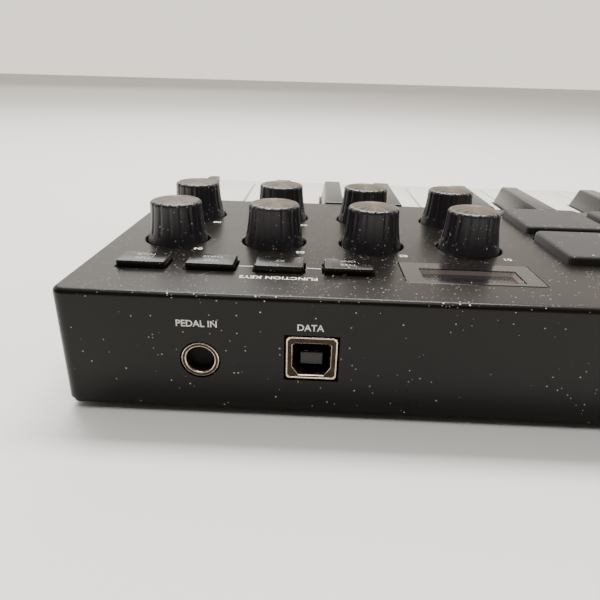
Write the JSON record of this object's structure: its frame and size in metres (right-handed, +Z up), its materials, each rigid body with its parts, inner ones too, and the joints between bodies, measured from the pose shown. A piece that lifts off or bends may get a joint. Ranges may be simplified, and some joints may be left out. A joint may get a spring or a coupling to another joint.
{
  "type": "midi keyboard",
  "caption": "Compact USB keyboard controller with small piano keys, a flat control deck of endless knobs, square pads, buttons, a display window and a thumb stick, and sockets on the rear face.",
  "frame": {"origin": "on the table, under the centre of the case", "axes": "+X to the player's right, +Y to the rear panel with the sockets, +Z up"},
  "size_m": [0.318, 0.181, 0.0445],
  "materials": {
    "case": "fine texture",
    "screw": "blackened",
    "rubber_foot": "matt",
    "frame_plastic": "as moulded",
    "rod": "drawn",
    "contact_rubber": "matt",
    "board": "solder mask",
    "encoder": "pressed",
    "pad": "satin silicone",
    "display": "dark glass",
    "lens": "polished",
    "socket_metal": "nickel plated",
    "white_key": "satin",
    "black_key": "satin",
    "knob": "satin",
    "button": "satin",
    "gimbal": "as moulded",
    "stick": "soft touch"
  },
  "bodies": {
    "chassis": {"top_case": "case", "bottom_case": "case", "case_screws": "screw", "rubber_feet": "rubber_foot", "key_frame": "frame_plastic", "key_pivot_rod": "rod", "key_contact_strip": "contact_rubber", "main_board": "board", "encoders": "encoder", "pad_sheet": "pad", "display_module": "display", "display_lens": "lens", "stick_base": "frame_plastic", "usb_socket": "socket_metal", "pedal_jack": "socket_metal"},
    "stick_gimbal": {"stick_gimbal": "gimbal"},
    "thumb_stick": {"thumb_stick": "stick"},
    "knob_1": {"knob_1": "knob"},
    "knob_2": {"knob_2": "knob"},
    "knob_3": {"knob_3": "knob"},
    "knob_4": {"knob_4": "knob"},
    "knob_5": {"knob_5": "knob"},
    "knob_6": {"knob_6": "knob"},
    "knob_7": {"knob_7": "knob"},
    "knob_8": {"knob_8": "knob"},
    "button_bank": {"button_bank": "button"},
    "button_control": {"button_control": "button"},
    "button_program": {"button_program": "button"},
    "button_select": {"button_select": "button"},
    "button_arpeggio": {"button_arpeggio": "button"},
    "button_tempo": {"button_tempo": "button"},
    "button_repeat": {"button_repeat": "button"},
    "button_level": {"button_level": "button"},
    "button_octave_down": {"button_octave_down": "button"},
    "button_octave_up": {"button_octave_up": "button"},
    "key_c3": {"key_c3": "white_key"},
    "key_c3_sharp": {"key_c3_sharp": "black_key"},
    "key_d3": {"key_d3": "white_key"},
    "key_d3_sharp": {"key_d3_sharp": "black_key"},
    "key_e3": {"key_e3": "white_key"},
    "key_f3": {"key_f3": "white_key"},
    "key_f3_sharp": {"key_f3_sharp": "black_key"},
    "key_g3": {"key_g3": "white_key"},
    "key_g3_sharp": {"key_g3_sharp": "black_key"},
    "key_a3": {"key_a3": "white_key"},
    "key_a3_sharp": {"key_a3_sharp": "black_key"},
    "key_b3": {"key_b3": "white_key"},
    "key_c4": {"key_c4": "white_key"},
    "key_c4_sharp": {"key_c4_sharp": "black_key"},
    "key_d4": {"key_d4": "white_key"},
    "key_d4_sharp": {"key_d4_sharp": "black_key"},
    "key_e4": {"key_e4": "white_key"},
    "key_f4": {"key_f4": "white_key"},
    "key_f4_sharp": {"key_f4_sharp": "black_key"},
    "key_g4": {"key_g4": "white_key"},
    "key_g4_sharp": {"key_g4_sharp": "black_key"},
    "key_a4": {"key_a4": "white_key"},
    "key_a4_sharp": {"key_a4_sharp": "black_key"},
    "key_b4": {"key_b4": "white_key"},
    "key_c5": {"key_c5": "white_key"}
  },
  "joints": [
    {"name": "stick_tilt_x", "type": "hinge", "parent": "chassis", "child": "stick_gimbal", "pos_m": [-0.1265, 0.061, 0.022], "axis": [0, 1, 0], "range_deg": [-18, 18], "stiffness_Nm_per_rad": 0.02},
    {"name": "stick_tilt_y", "type": "hinge", "parent": "stick_gimbal", "child": "thumb_stick", "pos_m": [-0.1265, 0.061, 0.022], "axis": [1, 0, 0], "range_deg": [-18, 18], "stiffness_Nm_per_rad": 0.02},
    {"name": "knob_1_turn", "type": "hinge", "parent": "chassis", "child": "knob_1", "pos_m": [0.0534, 0.0479, 0.035], "axis": [0, 0, 1], "continuous": true},
    {"name": "knob_2_turn", "type": "hinge", "parent": "chassis", "child": "knob_2", "pos_m": [0.0823, 0.0479, 0.035], "axis": [0, 0, 1], "continuous": true},
    {"name": "knob_3_turn", "type": "hinge", "parent": "chassis", "child": "knob_3", "pos_m": [0.1112, 0.0479, 0.035], "axis": [0, 0, 1], "continuous": true},
    {"name": "knob_4_turn", "type": "hinge", "parent": "chassis", "child": "knob_4", "pos_m": [0.1401, 0.0479, 0.035], "axis": [0, 0, 1], "continuous": true},
    {"name": "knob_5_turn", "type": "hinge", "parent": "chassis", "child": "knob_5", "pos_m": [0.0534, 0.0187, 0.035], "axis": [0, 0, 1], "continuous": true},
    {"name": "knob_6_turn", "type": "hinge", "parent": "chassis", "child": "knob_6", "pos_m": [0.0823, 0.0187, 0.035], "axis": [0, 0, 1], "continuous": true},
    {"name": "knob_7_turn", "type": "hinge", "parent": "chassis", "child": "knob_7", "pos_m": [0.1112, 0.0187, 0.035], "axis": [0, 0, 1], "continuous": true},
    {"name": "knob_8_turn", "type": "hinge", "parent": "chassis", "child": "knob_8", "pos_m": [0.1401, 0.0187, 0.035], "axis": [0, 0, 1], "continuous": true},
    {"name": "button_bank_press", "type": "slide", "parent": "chassis", "child": "button_bank", "axis": [0, 0, -1], "range_m": [0, 0.0005], "stiffness_N_per_m": 100, "springref_m": -0.0005},
    {"name": "button_select_press", "type": "slide", "parent": "chassis", "child": "button_select", "axis": [0, 0, -1], "range_m": [0, 0.0005], "stiffness_N_per_m": 100, "springref_m": -0.0005},
    {"name": "button_octave_up_press", "type": "slide", "parent": "chassis", "child": "button_octave_up", "axis": [0, 0, -1], "range_m": [0, 0.0005], "stiffness_N_per_m": 100, "springref_m": -0.0005},
    {"name": "key_c3_press", "type": "hinge", "parent": "chassis", "child": "key_c3", "pos_m": [0, 0.012, 0.0155], "axis": [1, 0, 0], "range_deg": [0, 1.7], "stiffness_Nm_per_rad": 0.6, "springref_deg": -3.44},
    {"name": "key_c3_sharp_press", "type": "hinge", "parent": "chassis", "child": "key_c3_sharp", "pos_m": [0, 0.012, 0.0155], "axis": [1, 0, 0], "range_deg": [0, 1.7], "stiffness_Nm_per_rad": 0.6, "springref_deg": -3.44},
    {"name": "key_c5_press", "type": "hinge", "parent": "chassis", "child": "key_c5", "pos_m": [0, 0.012, 0.0155], "axis": [1, 0, 0], "range_deg": [0, 1.7], "stiffness_Nm_per_rad": 0.6, "springref_deg": -3.44},
    {"name": "key_f4_sharp_press", "type": "hinge", "parent": "chassis", "child": "key_f4_sharp", "pos_m": [0, 0.012, 0.0155], "axis": [1, 0, 0], "range_deg": [0, 1.7], "stiffness_Nm_per_rad": 0.6, "springref_deg": -3.44},
    {"name": "key_g4_press", "type": "hinge", "parent": "chassis", "child": "key_g4", "pos_m": [0, 0.012, 0.0155], "axis": [1, 0, 0], "range_deg": [0, 1.7], "stiffness_Nm_per_rad": 0.6, "springref_deg": -3.44},
    {"name": "button_control_press", "type": "slide", "parent": "chassis", "child": "button_control", "axis": [0, 0, -1], "range_m": [0, 0.0005], "stiffness_N_per_m": 100, "springref_m": -0.0005},
    {"name": "button_program_press", "type": "slide", "parent": "chassis", "child": "button_program", "axis": [0, 0, -1], "range_m": [0, 0.0005], "stiffness_N_per_m": 100, "springref_m": -0.0005},
    {"name": "button_arpeggio_press", "type": "slide", "parent": "chassis", "child": "button_arpeggio", "axis": [0, 0, -1], "range_m": [0, 0.0005], "stiffness_N_per_m": 100, "springref_m": -0.0005},
    {"name": "button_tempo_press", "type": "slide", "parent": "chassis", "child": "button_tempo", "axis": [0, 0, -1], "range_m": [0, 0.0005], "stiffness_N_per_m": 100, "springref_m": -0.0005},
    {"name": "button_repeat_press", "type": "slide", "parent": "chassis", "child": "button_repeat", "axis": [0, 0, -1], "range_m": [0, 0.0005], "stiffness_N_per_m": 100, "springref_m": -0.0005},
    {"name": "button_level_press", "type": "slide", "parent": "chassis", "child": "button_level", "axis": [0, 0, -1], "range_m": [0, 0.0005], "stiffness_N_per_m": 100, "springref_m": -0.0005},
    {"name": "button_octave_down_press", "type": "slide", "parent": "chassis", "child": "button_octave_down", "axis": [0, 0, -1], "range_m": [0, 0.0005], "stiffness_N_per_m": 100, "springref_m": -0.0005},
    {"name": "key_d3_press", "type": "hinge", "parent": "chassis", "child": "key_d3", "pos_m": [0, 0.012, 0.0155], "axis": [1, 0, 0], "range_deg": [0, 1.7], "stiffness_Nm_per_rad": 0.6, "springref_deg": -3.44},
    {"name": "key_d3_sharp_press", "type": "hinge", "parent": "chassis", "child": "key_d3_sharp", "pos_m": [0, 0.012, 0.0155], "axis": [1, 0, 0], "range_deg": [0, 1.7], "stiffness_Nm_per_rad": 0.6, "springref_deg": -3.44},
    {"name": "key_e3_press", "type": "hinge", "parent": "chassis", "child": "key_e3", "pos_m": [0, 0.012, 0.0155], "axis": [1, 0, 0], "range_deg": [0, 1.7], "stiffness_Nm_per_rad": 0.6, "springref_deg": -3.44},
    {"name": "key_f3_press", "type": "hinge", "parent": "chassis", "child": "key_f3", "pos_m": [0, 0.012, 0.0155], "axis": [1, 0, 0], "range_deg": [0, 1.7], "stiffness_Nm_per_rad": 0.6, "springref_deg": -3.44},
    {"name": "key_f3_sharp_press", "type": "hinge", "parent": "chassis", "child": "key_f3_sharp", "pos_m": [0, 0.012, 0.0155], "axis": [1, 0, 0], "range_deg": [0, 1.7], "stiffness_Nm_per_rad": 0.6, "springref_deg": -3.44},
    {"name": "key_g3_press", "type": "hinge", "parent": "chassis", "child": "key_g3", "pos_m": [0, 0.012, 0.0155], "axis": [1, 0, 0], "range_deg": [0, 1.7], "stiffness_Nm_per_rad": 0.6, "springref_deg": -3.44},
    {"name": "key_g3_sharp_press", "type": "hinge", "parent": "chassis", "child": "key_g3_sharp", "pos_m": [0, 0.012, 0.0155], "axis": [1, 0, 0], "range_deg": [0, 1.7], "stiffness_Nm_per_rad": 0.6, "springref_deg": -3.44},
    {"name": "key_a3_press", "type": "hinge", "parent": "chassis", "child": "key_a3", "pos_m": [0, 0.012, 0.0155], "axis": [1, 0, 0], "range_deg": [0, 1.7], "stiffness_Nm_per_rad": 0.6, "springref_deg": -3.44},
    {"name": "key_a3_sharp_press", "type": "hinge", "parent": "chassis", "child": "key_a3_sharp", "pos_m": [0, 0.012, 0.0155], "axis": [1, 0, 0], "range_deg": [0, 1.7], "stiffness_Nm_per_rad": 0.6, "springref_deg": -3.44},
    {"name": "key_b3_press", "type": "hinge", "parent": "chassis", "child": "key_b3", "pos_m": [0, 0.012, 0.0155], "axis": [1, 0, 0], "range_deg": [0, 1.7], "stiffness_Nm_per_rad": 0.6, "springref_deg": -3.44},
    {"name": "key_c4_press", "type": "hinge", "parent": "chassis", "child": "key_c4", "pos_m": [0, 0.012, 0.0155], "axis": [1, 0, 0], "range_deg": [0, 1.7], "stiffness_Nm_per_rad": 0.6, "springref_deg": -3.44},
    {"name": "key_c4_sharp_press", "type": "hinge", "parent": "chassis", "child": "key_c4_sharp", "pos_m": [0, 0.012, 0.0155], "axis": [1, 0, 0], "range_deg": [0, 1.7], "stiffness_Nm_per_rad": 0.6, "springref_deg": -3.44},
    {"name": "key_d4_press", "type": "hinge", "parent": "chassis", "child": "key_d4", "pos_m": [0, 0.012, 0.0155], "axis": [1, 0, 0], "range_deg": [0, 1.7], "stiffness_Nm_per_rad": 0.6, "springref_deg": -3.44},
    {"name": "key_d4_sharp_press", "type": "hinge", "parent": "chassis", "child": "key_d4_sharp", "pos_m": [0, 0.012, 0.0155], "axis": [1, 0, 0], "range_deg": [0, 1.7], "stiffness_Nm_per_rad": 0.6, "springref_deg": -3.44},
    {"name": "key_e4_press", "type": "hinge", "parent": "chassis", "child": "key_e4", "pos_m": [0, 0.012, 0.0155], "axis": [1, 0, 0], "range_deg": [0, 1.7], "stiffness_Nm_per_rad": 0.6, "springref_deg": -3.44},
    {"name": "key_f4_press", "type": "hinge", "parent": "chassis", "child": "key_f4", "pos_m": [0, 0.012, 0.0155], "axis": [1, 0, 0], "range_deg": [0, 1.7], "stiffness_Nm_per_rad": 0.6, "springref_deg": -3.44},
    {"name": "key_g4_sharp_press", "type": "hinge", "parent": "chassis", "child": "key_g4_sharp", "pos_m": [0, 0.012, 0.0155], "axis": [1, 0, 0], "range_deg": [0, 1.7], "stiffness_Nm_per_rad": 0.6, "springref_deg": -3.44},
    {"name": "key_a4_press", "type": "hinge", "parent": "chassis", "child": "key_a4", "pos_m": [0, 0.012, 0.0155], "axis": [1, 0, 0], "range_deg": [0, 1.7], "stiffness_Nm_per_rad": 0.6, "springref_deg": -3.44},
    {"name": "key_a4_sharp_press", "type": "hinge", "parent": "chassis", "child": "key_a4_sharp", "pos_m": [0, 0.012, 0.0155], "axis": [1, 0, 0], "range_deg": [0, 1.7], "stiffness_Nm_per_rad": 0.6, "springref_deg": -3.44},
    {"name": "key_b4_press", "type": "hinge", "parent": "chassis", "child": "key_b4", "pos_m": [0, 0.012, 0.0155], "axis": [1, 0, 0], "range_deg": [0, 1.7], "stiffness_Nm_per_rad": 0.6, "springref_deg": -3.44}
  ]
}
